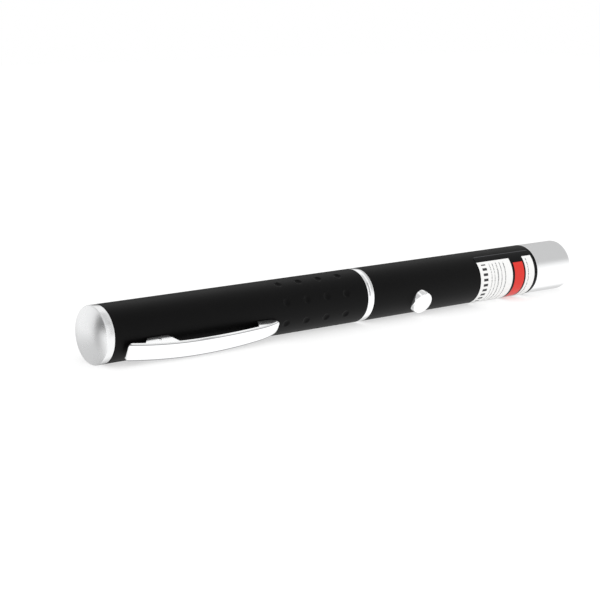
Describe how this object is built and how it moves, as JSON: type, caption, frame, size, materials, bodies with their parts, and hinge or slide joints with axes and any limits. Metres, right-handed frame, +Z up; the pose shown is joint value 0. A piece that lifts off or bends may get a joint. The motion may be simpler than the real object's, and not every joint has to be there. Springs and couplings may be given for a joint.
{
  "type": "laser pointer",
  "caption": "Pen-shaped laser pointer: dimpled battery barrel with a sprung pocket clip and domed cap, ringed front barrel with a push button, and a bright nose with a beam aperture.",
  "frame": {"origin": "centre of the beam aperture, in the nose's front face", "axes": "+X along the barrel, the way the beam leaves; +Z up, with the pen lying on its barrel and its clip; the clip and the button face -Y, below the level"},
  "size_m": [0.1593, 0.0175, 0.014],
  "materials": {
    "black_coat": "satin",
    "satin_silver": "satin",
    "bright_chrome": "polished",
    "spring_steel": "drawn",
    "cell_steel": "plated",
    "cell_sleeve": "gloss",
    "brass": "turned",
    "gold_plate": "plated",
    "insulator": "moulded",
    "black_plastic": "moulded",
    "board_green": "solder mask",
    "trimmer_blue": "moulded",
    "ceramic": "fired",
    "label": "printed film",
    "lens_glass": "polished"
  },
  "bodies": {
    "front": {"front_barrel": "black_coat", "coupling_ring": "bright_chrome", "nose_bezel": "bright_chrome", "label_film": "label", "contact_holder": "insulator", "battery_contact": "gold_plate", "driver_board": "board_green", "driver_chip": "black_plastic", "trimmer": "trimmer_blue", "resistors": "black_plastic", "capacitor": "ceramic", "switch_housing": "black_plastic", "switch_cover": "spring_steel", "laser_housing": "brass", "laser_diode": "gold_plate", "diode_leads": "gold_plate", "lens_holder": "brass", "collimating_lens": "lens_glass", "lens_spring": "spring_steel"},
    "cells": {"rear_cell": "cell_steel", "rear_cell_sleeve": "cell_sleeve", "front_cell": "cell_steel", "front_cell_sleeve": "cell_sleeve"},
    "spring": {"battery_spring": "spring_steel"},
    "rear_barrel": {"battery_tube": "black_coat", "rear_end_cap": "satin_silver", "clip_bracket": "spring_steel", "clip_pin": "spring_steel", "clip_spring": "spring_steel"},
    "clip": {"pocket_clip": "bright_chrome"},
    "button": {"button_cap": "bright_chrome", "switch_plunger": "black_plastic"}
  },
  "joints": [
    {"name": "thread_travel", "type": "slide", "parent": "front", "child": "spring", "axis": [-1, 0, 0], "range_m": [0, 0.0045], "deforming": ["battery_spring"]},
    {"name": "tube_twist", "type": "hinge", "parent": "spring", "child": "rear_barrel", "pos_m": [-0.0785, 0, 0], "axis": [-1, 0, 0], "range_deg": [0, 2160]},
    {"name": "clip_open", "type": "hinge", "parent": "rear_barrel", "child": "clip", "pos_m": [-0.1446, -0.00731, -0.00348], "axis": [0, 0.4298, -0.9029], "range_deg": [0, 5], "stiffness_Nm_per_rad": 1.3, "springref_deg": -1.72, "deforming": ["clip_spring"]},
    {"name": "cell_slide", "type": "slide", "parent": "front", "child": "cells", "axis": [-1, 0, 0], "range_m": [0, 0.00045], "stiffness_N_per_m": 1200, "springref_m": -0.0025, "deforming": ["battery_spring"]},
    {"name": "button_press", "type": "slide", "parent": "front", "child": "button", "axis": [0, 0.9029, 0.4298], "range_m": [0, 0.0005], "stiffness_N_per_m": 1500, "springref_m": -0.0006}
  ],
  "couplings": [
    {"joint": "tube_twist", "follows": "thread_travel", "rad_per_m": 8377.6}
  ]
}
